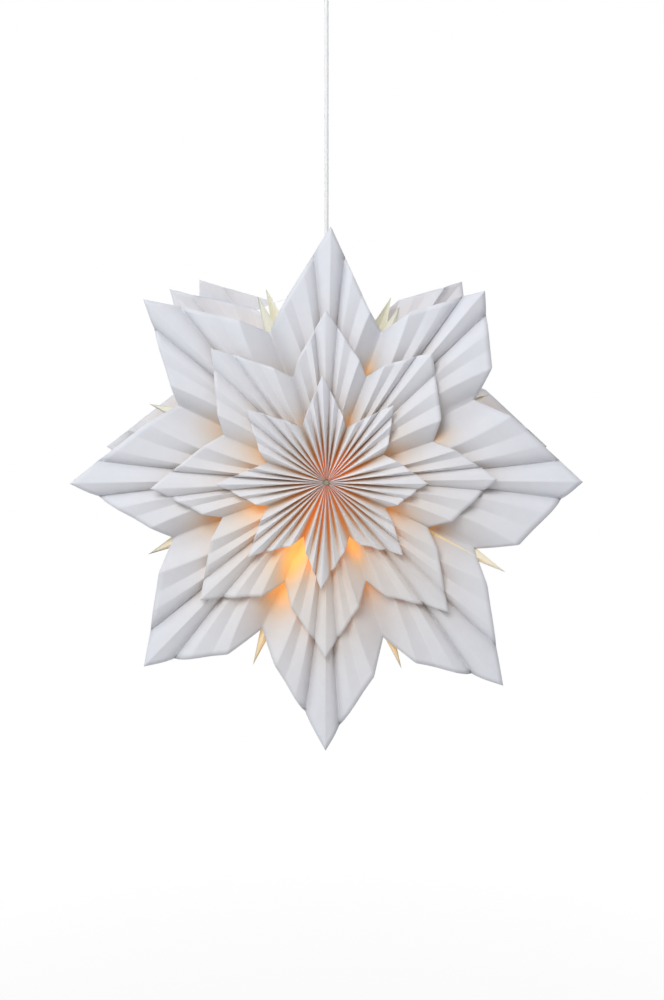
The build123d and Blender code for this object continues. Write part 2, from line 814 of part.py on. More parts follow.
pieces = {
    "front_small_rosette": front_small_rosette,
    "front_medium_rosette": front_medium_rosette,
    "front_large_rosette": front_large_rosette,
    "back_small_rosette": back_small_rosette,
    "back_medium_rosette": back_medium_rosette,
    "back_large_rosette": back_large_rosette,
    "back_lapped_petal": back_lapped_petal,
    "front_hub_core": front_hub_core,
    "front_hub_pin": front_hub_pin,
    "back_hub_core": back_hub_core,
    "back_hub_pin": back_hub_pin,
    "spreader_wire": spreader_wire,
    "holder_skirt": holder_skirt,
    "holder_dome": holder_dome,
    "holder_nipple": holder_nipple,
    "nipple_screw": nipple_screw,
    "holder_insert": holder_insert,
    "holder_terminal_screws": holder_terminal_screws,
    "holder_screw_shell": holder_screw_shell,
    "holder_centre_contact": holder_centre_contact,
    "holder_cores": holder_cores,
    "upper_shade_ring": upper_shade_ring,
    "lower_shade_ring": lower_shade_ring,
    "bulb_glass": bulb_glass,
    "bulb_stem": bulb_stem,
    "bulb_filaments": bulb_filaments,
    "bulb_cap": bulb_cap,
    "bulb_insulator": bulb_insulator,
    "bulb_contact": bulb_contact,
    "ceiling_plate": ceiling_plate,
    "ceiling_hook": ceiling_hook,
    "cord_hanger": cord_hanger,
    "terminal_block": terminal_block,
    "terminal_screws": terminal_screws,
    "ceiling_cores": ceiling_cores,
    "ceiling_cup": ceiling_cup,
    "cup_grommet": cup_grommet,
    "cup_grip_screw": cup_grip_screw,
    "cord_upper": cord_upper,
    "cord_bend": cord_bend,
    "cord_free": cord_free,
}
for name, piece in pieces.items():
    piece.part.label = name
    export_step(piece.part, f"parts/{name}.step")
for bag in bags:
    export_step(bag, f"parts/{bag.label}.step")
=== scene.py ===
"""The look of a pleated paper star pendant: folded sheets with the bulb's glow behind them, folded bags, holder,
bulb, cord and ceiling cup.

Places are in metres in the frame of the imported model: +Z up, the star's front towards -Y. Round the star, an angle
is in degrees clockwise from straight up as seen from the front, and a depth runs inwards from the plane of the large
petals' tips, so that one set of sizes serves the front star and the back star.
"""

import json
import math

import bpy
import numpy as np
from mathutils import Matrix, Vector

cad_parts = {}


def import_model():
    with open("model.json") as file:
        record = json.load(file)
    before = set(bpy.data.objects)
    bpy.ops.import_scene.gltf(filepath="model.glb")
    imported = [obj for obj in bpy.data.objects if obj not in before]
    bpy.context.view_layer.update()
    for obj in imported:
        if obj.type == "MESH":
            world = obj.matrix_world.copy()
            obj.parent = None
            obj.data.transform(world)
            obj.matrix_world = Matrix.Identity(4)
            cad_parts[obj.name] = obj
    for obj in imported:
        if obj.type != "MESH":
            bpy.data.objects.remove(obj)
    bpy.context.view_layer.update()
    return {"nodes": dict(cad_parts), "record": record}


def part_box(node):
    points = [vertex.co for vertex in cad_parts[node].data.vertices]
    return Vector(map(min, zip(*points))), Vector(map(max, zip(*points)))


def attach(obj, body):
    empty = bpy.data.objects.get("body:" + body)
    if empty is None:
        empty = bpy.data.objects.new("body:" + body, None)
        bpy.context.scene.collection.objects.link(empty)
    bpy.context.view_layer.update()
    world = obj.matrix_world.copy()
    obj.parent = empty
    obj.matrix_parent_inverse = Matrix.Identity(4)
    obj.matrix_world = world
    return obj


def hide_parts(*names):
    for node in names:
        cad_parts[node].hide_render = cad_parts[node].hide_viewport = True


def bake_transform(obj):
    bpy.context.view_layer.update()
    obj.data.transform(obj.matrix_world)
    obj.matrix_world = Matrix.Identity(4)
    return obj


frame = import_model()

MM = 0.001

# ---------------------------------------------------------------- sizes

low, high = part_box("front_large_rosette")
STAR_Z = (low.z + high.z) / 2
STAR_DEPTH = 240 * MM
HUB_EDGE = 3.1 * MM  # the pleats' inner ends, round the pin's head
PAPER = 0.35 * MM
NOTCH_TURN = 22.5

# One petal after another, clockwise from the top: the tip's direction, its reach in mm, and how far each side of the
# petal stands out past a straight line from tip to notch at its shoulder, in mm, first the anticlockwise side. The
# notch after each petal follows in the table of notches, as direction and reach.
LARGE_PETALS = [
    (1.0, 299, 5, -3),
    (39.3, 290, 16, 19),
    (90.0, 300, 14, 24),
    (139.2, 318, 8, 14),
    (180.2, 319, 13, 6),
    (224.5, 307, 18, 9),
    (269.8, 300, -2, 7),
    (315.2, 302, -1, 9),
]
LARGE_NOTCHES = [
    (20.5, 186), (62.0, 199), (116.0, 196), (160.5, 203), (203.0, 197), (248.5, 196), (296.4, 196), (338.9, 186),
]
MEDIUM_PETALS = [
    (-0.2, 202, 7, 5),
    (39.0, 196, 10, 10),
    (89.0, 200, 8, 11),
    (137.0, 210, 7, 8),
    (180.3, 208, 8, 8),
    (226.8, 204, 10, 8),
    (268.0, 206, 5, 5),
    (319.5, 207, 3, 6),
]
MEDIUM_NOTCHES = [
    (21.0, 131), (70.0, 134), (115.0, 132), (159.0, 130), (202.0, 132), (250.0, 131), (294.0, 133), (342.0, 128),
]
SMALL_PETALS = [
    (-2.2, 127, 3, 4),
    (40.5, 121, 3, 4),
    (90.0, 118, 4, 4),
    (133.5, 123, 5, 5),
    (183.0, 125, 4, 5),
    (226.5, 126, 5, 5),
    (269.5, 130, 3, 3),
    (313.0, 128, 4, 4),
]
SMALL_NOTCHES = [
    (20.0, 68), (64.0, 74), (114.0, 75), (157.5, 70), (202.5, 70), (247.0, 74), (288.0, 73), (336.0, 70),
]

# Half a petal's folds, from its tip to its notch: how far round each one lies at the rim, 1 being the notch, and
# which way it is folded, -1 a ridge and 1 a valley. Towards the rim the pleats open: there a crown, one narrow
# groove, a ridge and a steep side down to the notch are left.
FOLD_PLACE = np.array([0.0, 0.19, 0.34, 0.50, 0.70, 1.0])
FOLD_WAY = np.array([-1.0, 1.0, -1.0, 1.0, -1.0, 1.0])
GROOVE_PLACE, RIDGE_PLACE = FOLD_PLACE[1], FOLD_PLACE[4]
FOLD_PLAY = 0.35  # degrees a fold may lie off its place
DEPTH_PLAY = 0.12  # and the share by which it may be deeper or shallower
PLEAT_AT_HUB = 7 * MM
PRESSED = [(3, 0.3), (22, 0.7), (55, 1.0)]  # radius in mm, and how much of its depth a pleat has there
GROOVE_DEPTH = 12 * MM
GROOVE_WIDTH = 0.055
CROWN_HEIGHT = 4 * MM
KEEL_HEIGHT, KEEL_WIDTH = 1.5 * MM, 0.05
SIDE_DROP = 20 * MM
OPEN_VALLEY = 9 * MM  # from this depth on, an open fold counts as a whole valley
DRAWN_ROWS = [(0.0, 0.0), (0.12, 0.0), (0.5, 0.5), (1.0, 0.0)]  # where along the rows the folds draw together
SWELL_WAVES, SWELL_TWIST = 3, 9  # the paper's slow unevenness: waves round the star, and their turn per metre

# A sheet is a grid of points: columns at shares of the way from one fold to the next, and rows from the hub to the
# rim, closer together at the hub.
COLUMN_SHARES = (0.0, 0.06, 0.28, 0.5, 0.72, 0.94)
ROWS = np.linspace(0, 1, 36) ** 1.1

# Each sheet: its middle plane's depth at the hub and at the tips, how much of the rim's relief it has, how soon its
# pleats open, how far its folds draw together inwards, and how high the paper swells.
SHEETS = {
    "small": dict(hub=0.0, tip=-8 * MM, relief=0.55, opening=1.5, drift=0.0, swell=0.6 * MM),
    "medium": dict(hub=13 * MM, tip=-2 * MM, relief=0.75, opening=0.95, drift=0.35, swell=1.2 * MM),
    "large": dict(hub=26 * MM, tip=0.0, relief=1.0, opening=0.7, drift=0.7, swell=2.0 * MM),
}

# The petal doubled where the fan's ends lap, on the back star.
LAP_TIP, LAP_REACH, LAP_NOTCH = -37.3, 285, 177
LAP_START = 208 * MM
LAP_LIFT = 4.3 * MM
LAP_BULGE = 18
LAP_RELIEF = 0.6
LAP_LEAST = 0.5 * MM  # its shortest fold

# The folded bags: inner edge, mid-depth edge, and each one's direction, the reach of its points and how far it
# stands out past its notch valley, in mm.
BAG_INNER, BAG_MIDDLE, BAG_NOTCH = 105 * MM, 140 * MM, 185 * MM
BAG_TURN = [22.9, 71.5, 117.6, 158.6, 201.4, 246.8, 293.0, 339.4]
BAG_REACH = [222, 230, 240, 246, 241, 231, 228, 232]
BAG_PROUD = [0.0, 0.0, 4.5, 0.0, 0.0, 0.0, 0.0, 0.0]
BAG_HALF_WIDTH = 9.5 * MM
BAG_SHOULDER = 6 * MM
BAG_ROUNDING = 0.85
BAG_STEPS, BAG_ROWS = 14, 12
BAG_SHEET = 301 * MM  # the large sheet's reach where the bags touch it
BAG_GAP = 0.8 * MM

# The hub core's section, as (radius, distance from the lamp's middle) in mm: full width behind the sheets, a slim
# nose between their inner ends.
HUB_CORE = [(1.6, 77), (7.7, 77), (7.7, 86), (6.0, 87.5), (2.7, 89), (2.7, 122.7), (2.4, 123), (1.6, 123)]
HUB_SIDES = 40

low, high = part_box("bulb_glass")
BULB_MIDDLE = low.z + (high.x - low.x) / 2

low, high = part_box("ceiling_cup")
CUP_RADIUS, CUP_TOP, CUP_BOTTOM = high.x, high.z, low.z
CUP_WALL = 1.6 * MM
CUP_HOLE = 5.05 * MM
CUP_ROUNDING = 0.72, 0.9  # powers that square the quarter circle of its outline, across and down
CUP_STEPS, CUP_SIDES = 28, 64

low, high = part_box("cord_free")
CORD_RADIUS = (high.x - low.x) / 2
CORD_SIDES = 20

rng = np.random.default_rng(8)


# ---------------------------------------------------------------- meshes


def add_piece(name, points, faces, body, smooth=True):
    """A piece with a mesh of its own, on a body if one is given."""
    mesh = bpy.data.meshes.new(name)
    mesh.from_pydata(points.tolist(), [], faces)
    mesh.polygons.foreach_set("use_smooth", np.full(len(faces), smooth))
    mesh.update()
    piece = bpy.data.objects.new(name, mesh)
    bpy.context.scene.collection.objects.link(piece)
    if body:
        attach(piece, body)
    return piece


def make_object(name, points, faces, body, smooth=True):
    """A closed piece from its points and quads, turned so that its faces point outwards: the sum over the faces'
    triangles with the origin is the enclosed volume, and a negative sum means that they point inwards."""
    a, b, c, d = (points[faces[:, k]] for k in range(4))
    if np.einsum("ij,ij->", a, np.cross(b, c) + np.cross(c, d)) < 0:
        faces = faces[:, ::-1]
    return add_piece(name, points, faces.tolist(), body, smooth)


def paint(piece, name, colours):
    """Stores one linear colour for each point of a piece."""
    layer = piece.data.color_attributes.new(name, "FLOAT_COLOR", "POINT")
    rgba = np.ones((len(piece.data.vertices), 4), np.float32)
    rgba[:, :3] = colours
    layer.data.foreach_set("color", rgba.ravel())


def grid_faces(columns, rows, start, closed):
    """Quads between neighbouring points of a grid kept column by column."""
    reach = columns if closed else columns - 1
    i, j = np.meshgrid(np.arange(reach), np.arange(rows - 1), indexing="ij")
    i, j = i.ravel(), j.ravel()
    k = (i + 1) % columns
    return start + np.stack([i * rows + j, k * rows + j, k * rows + j + 1, i * rows + j + 1], axis=1)


def shell_faces(columns, rows, closed):
    """A sheet's outer grid, its inner grid turned over, and the strips of faces round its edges that join them."""
    outer = grid_faces(columns, rows, 0, closed)
    inner = grid_faces(columns, rows, columns * rows, closed)[:, ::-1]
    size = columns * rows
    i = np.arange(columns if closed else columns - 1)
    k = (i + 1) % columns
    strips = []
    for row in (0, rows - 1):
        strip = np.stack([i * rows + row, k * rows + row, k * rows + row + size, i * rows + row + size], axis=1)
        strips.append(strip[:, ::-1] if row == 0 else strip)
    if not closed:
        j = np.arange(rows - 1)
        for column in (0, columns - 1):
            at = column * rows
            strip = np.stack([at + j, at + j + 1, at + j + 1 + size, at + j + size], axis=1)
            strips.append(strip if column == 0 else strip[:, ::-1])
    return np.concatenate([outer, inner, *strips])


def turned(name, profile, place, body, steps, smooth=True):
    """A round shell: a closed profile of (radius, along) points carried round a line. `place` turns the two
    distances across that line and the one along it into a place in the model's frame."""
    count = len(profile)
    turn = (np.arange(steps) * 2 * np.pi / steps)[:, None]
    radius = profile[:, 0]
    along = np.broadcast_to(profile[:, 1], (steps, count))
    points = np.stack(place(np.cos(turn) * radius, np.sin(turn) * radius, along), axis=2).reshape(-1, 3)
    i, j = np.meshgrid(np.arange(steps), np.arange(count), indexing="ij")
    i, j = i.ravel(), j.ravel()
    k, m = (i + 1) % steps, (j + 1) % count
    faces = np.stack([i * count + j, k * count + j, k * count + m, i * count + m], axis=1)
    return make_object(name, points, faces, body, smooth)


# ---------------------------------------------------------------- light from the bulb

# Painted warm light from the bulb on paper, from none to the brightest: the paper's tint in that painted light, and
# the painted glow it gives out.
WARMTH = [0.0, 0.15, 0.35, 0.65, 1.0]
WARM_PAPER = np.array(
    [(0.76, 0.765, 0.80), (0.76, 0.71, 0.67), (0.76, 0.62, 0.48), (0.84, 0.52, 0.24), (0.88, 0.47, 0.12)]
)
WARM_GLOW = np.array([(0, 0, 0), (0.0, 0.0, 0.0), (0.05, 0.02, 0.004), (0.34, 0.14, 0.03), (0.62, 0.32, 0.10)])

# The same deep in the pleats round the hub, where the light comes through several layers of paper.
EMBER_PAPER = np.array(
    [(0.76, 0.765, 0.80), (0.70, 0.64, 0.60), (0.62, 0.44, 0.32), (0.62, 0.22, 0.07), (0.74, 0.15, 0.01)]
)
EMBER_GLOW = np.array([(0, 0, 0), (0.0, 0.0, 0.0), (0.0, 0.0, 0.0), (0.05, 0.008, 0.0), (0.26, 0.04, 0.0)])

# How strongly the light shows in the pleats round the hub, by direction, and how far out in mm; and how deep in a
# pleat it begins, and over what depth it grows.
HUB_LIGHT = [
    (-60, 0.55), (-30, 1.0), (-20, 0.8), (-8, 1.4), (4, 0.8), (16, 0.85), (33, 1.5), (60, 1.2), (75, 0.65),
    (95, 0.6), (120, 0.75), (150, 0.85), (170, 0.85), (190, 1.1), (205, 1.0), (225, 0.6), (245, 0.65), (272, 0.5),
]
HUB_LIGHT_REACH = [(0, 50), (60, 54), (120, 58), (165, 76), (205, 98), (250, 64), (300, 46)]
HUB_LIGHT_FROM, HUB_LIGHT_OVER = 0.3, 0.45

# Light that comes out under a sheet's edge, at its notches in the order in which they are listed above, and how far
# it reaches in mm, outwards and sideways. It reaches less far inwards, and a narrow rim of it runs all the way round.
SMALL_LEAKS = [0.40, 0.30, 0.34, 0.80, 1.20, 0.52, 0.38, 0.28]
SMALL_LEAK_REACH = [(26, 10), (34, 24), (40, 26), (32, 13), (52, 24), (38, 22), (40, 26), (18, 14)]
MEDIUM_LEAKS = [0.52, 0.46, 0.36, 0.30, 0.66, 0.40, 0.30, 0.10]
MEDIUM_LEAK_REACH = [(24, 9), (26, 12), (28, 14), (30, 18), (40, 26), (36, 22), (34, 24), (20, 14)]
LEAK_INWARDS = 14 * MM
RIM_LIGHT, RIM_LIGHT_REACH = 0.10, 16 * MM

# A faint warmth of the paper near the bulb, and how much of the light on a sheet a ridge gets where a valley gets all.
FAINT_LIGHT, FAINT_REACH = 0.22, 140 * MM
HUB_RIDGE_SHARE, EDGE_RIDGE_SHARE = 0.4, 0.55

# The bulb's light on paper that faces it: strength, reach, and what is taken off so that it ends.
SHEET_LIGHT = (1.5, 100 * MM, 0.16)
BAG_LIGHT = (1.6, 105 * MM, 0.25)
# The bags' own cream paper, their colour in the bulb's painted light, and the painted glow they give out there.
BAG_CREAM = np.array([0.86, 0.84, 0.70])
BAG_BULB_LIT = np.array([0.88, 0.66, 0.28])
BAG_GLOW = np.array([0.42, 0.28, 0.09])

# Painted light and shade across a pleat: plain paper, the painted highlight that a tight ridge gains, and the painted
# shade that a valley and a tight valley lose; how far from the hub the pleats are tight, and where in a pleat its
# painted shade begins and over what depth.
CREASE_PLAIN, RIDGE_HIGHLIGHT, VALLEY_SHADE, DEEP_VALLEY_SHADE = 1.04, 0.18, 0.10, 0.42
TIGHT_REACH = 58 * MM
DARK_FROM, DARK_OVER = 0.25, 0.5


def by_direction(table, angle):
    """A value read from a table of directions, going round past the top."""
    table = np.array(sorted(((a % 360, v) for a, v in table)), float)
    return np.interp(angle % 360, table[:, 0], table[:, 1], period=360)


def warm_colours(warmth, ember):
    """Paper colour and painted glow colour for a warmth of the bulb's painted light from 0 to 1, and for how much of
    it lies deep in the pleats.
    """
    warmth = np.clip(warmth, 0, 1)
    share = np.clip(ember, 0, 1)[..., None]

    def blend(plain, deep):
        first = np.stack([np.interp(warmth, WARMTH, plain[:, c]) for c in range(3)], axis=-1)
        second = np.stack([np.interp(warmth, WARMTH, deep[:, c]) for c in range(3)], axis=-1)
        return first * (1 - share) + second * share

    return blend(WARM_PAPER, EMBER_PAPER), blend(WARM_GLOW, EMBER_GLOW)


def inner_light(points, strength, reach, loss):
    """Painted warmth of the bulb's light on paper that faces the bulb: it falls with the square of the distance."""
    away = np.linalg.norm(points - np.array([0.0, 0.0, BULB_MIDDLE]), axis=-1)
    return np.clip(strength * (reach / away) ** 2 - loss, 0, 1)


# ---------------------------------------------------------------- pleated sheets


def straight_reach(first, last, turn, angle):
    """Distance from the axis to the straight line between two points: one at reach `first`, one at reach `last` and
    `turn` degrees further round; `angle` is counted from the first."""
    turn, angle = np.radians(turn), np.radians(angle)
    return first * last * np.sin(turn) / (first * np.sin(angle) + last * np.sin(turn - angle))


def side_reach(tip, notch, turn, angle, bulge):
    """Distance from the axis to a petal's side, `angle` degrees from its tip. The side is straight from the tip to a
    shoulder at the ridge and straight on to the notch; the bulge is how far the shoulder stands out past the line
    from tip to notch."""
    bend = RIDGE_PLACE * turn
    shoulder = straight_reach(tip, notch, turn, bend) + bulge
    outer = straight_reach(tip, shoulder, bend, np.minimum(angle, bend))
    inner = straight_reach(shoulder, notch, turn - bend, np.maximum(angle - bend, 0))
    return np.where(angle <= bend, outer, inner)


def half_petal_columns():
    """Places of the columns across half a petal: at each fold, close by it on both sides, and between."""
    gaps = np.diff(FOLD_PLACE)
    places = FOLD_PLACE[:-1, None] + gaps[:, None] * np.array(COLUMN_SHARES)[None]
    return places.ravel()


def rim_relief(place):
    """Depth across half a petal where its pleats have opened: a keel along the middle, a crown that rises slowly, a
    groove that is sharp at its bottom and fades to both sides, and past the ridge a side that runs straight down to
    the notch."""
    crown = -CROWN_HEIGHT * (np.minimum(place, RIDGE_PLACE) / RIDGE_PLACE) ** 2
    crown = crown - KEEL_HEIGHT * np.exp(-place / KEEL_WIDTH)
    groove = GROOVE_DEPTH * np.exp(-np.abs(place - GROOVE_PLACE) / GROOVE_WIDTH)
    side = SIDE_DROP * np.clip((place - RIDGE_PLACE) / (1 - RIDGE_PLACE), 0, 1)
    return crown + groove + side


def sheet_columns(petals, notches):
    """Every column of a sheet in order. For each: its petal's direction, which side of it and how far to the notch,
    its place in the half petal, its play in angle, its reach and its petal's, and how deep its pleat is."""
    rows = []
    places = half_petal_columns()
    for number, (tip_at, tip, bulge_before, bulge_after) in enumerate(petals):
        for way, notch, bulge in ((-1, notches[number - 1], bulge_before), (1, notches[number], bulge_after)):
            turn = abs((notch[0] - tip_at + 180) % 360 - 180)
            slip = np.interp(places, FOLD_PLACE, [0, *rng.normal(0, FOLD_PLAY / turn, 4), 0])
            deepness = np.interp(places, FOLD_PLACE, 1 + rng.normal(0, DEPTH_PLAY, 6))
            # A side runs towards its notch when it lies clockwise of the tip, and back from it otherwise.
            order = slice(None) if way > 0 else slice(None, None, -1)
            half = np.stack(
                [
                    np.full(len(places), tip_at),
                    np.full(len(places), way * turn),
                    places,
                    slip,
                    side_reach(tip, notch[1], turn, (places + slip) * turn, bulge) * MM,
                    np.full(len(places), tip * MM),
                    deepness,
                ],
                axis=1,
            )
            if way < 0:
                end = half[-1].copy()
                end[2], end[3], end[4] = 1.0, 0.0, notch[1] * MM
                half = np.concatenate([half[1:], end[None]])
            rows.append(half[order])
    return np.concatenate(rows)


def pleat_surface(columns, sheet):
    """A pleated sheet over (column, row). Along a column the radius runs from the hub to the outline. Its depth is
    the sheet's middle plane, plus pleats that fade outwards, plus the rim's relief that grows outwards, plus a swell.

    Returns x and z in the star's plane, the depth, and how deep a point lies in its pleat, 0 on a ridge and 1 in a
    valley."""
    tip_at, turn, place, slip, reach, petal, deepness = (c[:, None] for c in columns.T)
    radius = HUB_EDGE + ROWS[None] * (reach - HUB_EDGE)
    along = np.clip(radius / petal, 0, 1.05)
    drawn = 1 - sheet["drift"] * np.interp(ROWS[None], *np.transpose(DRAWN_ROWS))
    inside = np.where(place <= RIDGE_PLACE, drawn, 1 + (drawn - 1) * (1 - place) / (1 - RIDGE_PLACE))
    angle = np.radians(tip_at + turn * (place + slip) * inside)
    zigzag = np.interp(place, FOLD_PLACE, FOLD_WAY)
    open_share = along ** sheet["opening"]
    relief = rim_relief(place) * sheet["relief"]
    depth = sheet["hub"] * (1 - along) + sheet["tip"] * along
    pressed = np.interp(radius / MM, *np.transpose(PRESSED))
    depth = depth + zigzag * deepness * pressed * PLEAT_AT_HUB * (1 - open_share) + relief * deepness * open_share
    valley = (0.5 + 0.5 * zigzag) * (1 - open_share) + np.clip(relief / OPEN_VALLEY, 0, 1) * open_share
    x, z = radius * np.sin(angle), radius * np.cos(angle)
    depth = depth + sheet["swell"] * np.sin(SWELL_WAVES * angle + SWELL_TWIST * radius) * along**2
    return x, z, depth, valley


def to_world(x, z, depth, side):
    """From the star's plane and a depth behind its tips to the model's frame; side is 1 in front and -1 behind."""
    return np.stack([x, -side * (STAR_DEPTH / 2 - depth), STAR_Z + z], axis=-1)


def edge_light(x, z, cover, notches, leaks, reaches):
    """Light that comes out under the edge of the sheet in front: a narrow rim of it all the way round, and a patch
    outside each notch, whose own strength and reach are given. A patch fades as a bell curve."""
    radius, angle = np.hypot(x, z), np.degrees(np.arctan2(x, z))
    order = np.argsort(cover[:, 0] % 360)
    edge = np.interp(angle % 360, cover[order, 0] % 360, cover[order, 1], period=360)
    light = RIM_LIGHT * np.exp(-np.maximum(radius - edge, 0) / RIM_LIGHT_REACH)
    for (at, reach), leak, (outwards, across) in zip(notches, leaks, reaches):
        turn = np.radians((angle - at + 180) % 360 - 180)
        outward = radius * np.cos(turn) - reach * MM
        sideways = radius * np.sin(turn)
        along = np.where(outward > 0, outward / (outwards * MM), outward / LEAK_INWARDS)
        light = np.maximum(light, leak * np.exp(-(along**2) - (sideways / (across * MM)) ** 2))
    return light


def hub_light(x, z, valley):
    """Light deep in the pleats round the hub."""
    radius, angle = np.hypot(x, z), np.degrees(np.arctan2(x, z))
    reach = by_direction(HUB_LIGHT_REACH, angle) * MM
    deep = np.clip((valley - HUB_LIGHT_FROM) / HUB_LIGHT_OVER, 0, 1)
    return by_direction(HUB_LIGHT, angle) * np.exp(-((radius / reach) ** 2)) * deep


def painted_crease_light_and_shade(x, z, valley):
    """Painted light and shade across a pleat: a painted highlight a little paler on the ridge, and painted shade much
    darker low in the tight pleats round the hub, where little light gets in."""
    tight = np.exp(-((np.hypot(x, z) / TIGHT_REACH) ** 2))
    dark = np.clip((valley - DARK_FROM) / DARK_OVER, 0, 1)
    return CREASE_PLAIN + RIDGE_HIGHLIGHT * tight * (1 - dark) - VALLEY_SHADE * valley**2 - DEEP_VALLEY_SHADE * tight * dark


def all_round(x, z):
    """A faint painted glow of the bulb's light on the paper near it, seen through the sheets, stronger below, where
    the bulb hangs.
    """
    return FAINT_LIGHT * np.exp(-((np.hypot(x, z - (BULB_MIDDLE - STAR_Z)) / FAINT_REACH) ** 2))


def pleated_sheet(word, size, petals, notches, side, cover):
    """A whole pleated rosette as a thin closed shell, painted with the bulb's light. `cover` is the edge of the sheet
    in front, with its notches and leaks. Returns the piece and its own edge, as (direction, reach)."""
    columns = sheet_columns(petals, notches)
    x, z, depth, valley = pleat_surface(columns, SHEETS[size])
    outer = to_world(x, z, depth, side).reshape(-1, 3)
    inner = to_world(x, z, depth + PAPER, side).reshape(-1, 3)
    faces = shell_faces(len(columns), len(ROWS), True)
    piece = make_object(f"{word}_{size}_sheet", np.concatenate([outer, inner]), faces, "lamp")
    warmth = all_round(x, z)
    ember = 0 * warmth
    if cover is None:
        deep = hub_light(x, z, valley)
        ember = deep / np.maximum(deep + warmth, 1e-6)
        warmth = warmth * (HUB_RIDGE_SHARE + (1 - HUB_RIDGE_SHARE) * valley) + deep
    else:
        warmth = warmth + edge_light(x, z, *cover) * (EDGE_RIDGE_SHARE + (1 - EDGE_RIDGE_SHARE) * valley)
    paper, glow = warm_colours(warmth.ravel(), ember.ravel())
    # painted shade in the valleys and a painted highlight on the ridges, multiplied into the paper's colour
    crease_light_and_shade = painted_crease_light_and_shade(x, z, valley).ravel()[:, None]
    inner_paper, inner_glow = warm_colours(inner_light(inner, *SHEET_LIGHT), np.zeros(len(inner)))
    paint(piece, "paper_tone_and_painted_light", np.concatenate([paper * crease_light_and_shade, inner_paper]))
    paint(piece, "bulb_glow", np.concatenate([glow, inner_glow]))
    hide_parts(f"{word}_{size}_rosette")
    rim = np.stack([columns[:, 0] + columns[:, 1] * (columns[:, 2] + columns[:, 3]), columns[:, 4]], axis=1)
    return piece, rim


# From the middle outwards, each layer's light shows on the sheet behind it.
LAYERS = [
    ("small", SMALL_PETALS, SMALL_NOTCHES, SMALL_LEAKS, SMALL_LEAK_REACH),
    ("medium", MEDIUM_PETALS, MEDIUM_NOTCHES, MEDIUM_LEAKS, MEDIUM_LEAK_REACH),
    ("large", LARGE_PETALS, LARGE_NOTCHES, None, None),
]
sheets = []
for side, word in ((1, "front"), (-1, "back")):
    cover = None
    for size, petals, notches, leaks, reaches in LAYERS:
        piece, rim = pleated_sheet(word, size, petals, notches, side, cover)
        sheets.append(piece)
        cover = (rim, notches, leaks, reaches)


def lapped_petal():
    """The doubled petal on the back: the same folds from the medium tips outwards, lying on the large sheet."""
    places = half_petal_columns()
    reach = side_reach(LAP_REACH, LAP_NOTCH, NOTCH_TURN, places * NOTCH_TURN, LAP_BULGE) * MM
    reach = np.maximum(reach, LAP_START + LAP_LEAST)
    turn = NOTCH_TURN * np.concatenate([-places[:0:-1], places])[:, None]
    place, reach = (np.concatenate([half[:0:-1], half])[:, None] for half in (places, reach))
    radius = LAP_START + ROWS[None] * (reach - LAP_START)
    angle = np.radians(LAP_TIP + turn)
    along = radius / (LAP_REACH * MM)
    depth = SHEETS["large"]["hub"] * (1 - along) + LAP_RELIEF * rim_relief(place) * along - LAP_LIFT
    x, z = radius * np.sin(angle), radius * np.cos(angle)
    outer = to_world(x, z, depth, -1).reshape(-1, 3)
    inner = to_world(x, z, depth + PAPER, -1).reshape(-1, 3)
    both = np.concatenate([outer, inner])
    piece = make_object("lapped_petal", both, shell_faces(len(place), len(ROWS), False), "lamp")
    paper, glow = warm_colours(np.zeros(len(both)), np.zeros(len(both)))
    paint(piece, "paper_tone_and_painted_light", paper)
    paint(piece, "bulb_glow", glow)
    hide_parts("back_lapped_petal")
    return piece


sheets.append(lapped_petal())

# ---------------------------------------------------------------- folded bags


def bag_half_depth(radius):
    """Half the bag's width across the star: its edge lies in the large sheet's notch valley, and runs straight on
    past the notch."""
    along = radius / BAG_SHEET
    sheet = SHEETS["large"]
    open_share = along ** sheet["opening"]
    valley = PLEAT_AT_HUB * (1 - open_share) + (SIDE_DROP - CROWN_HEIGHT) * open_share
    return STAR_DEPTH / 2 - (sheet["hub"] * (1 - along) + sheet["tip"] * along + valley) - BAG_GAP


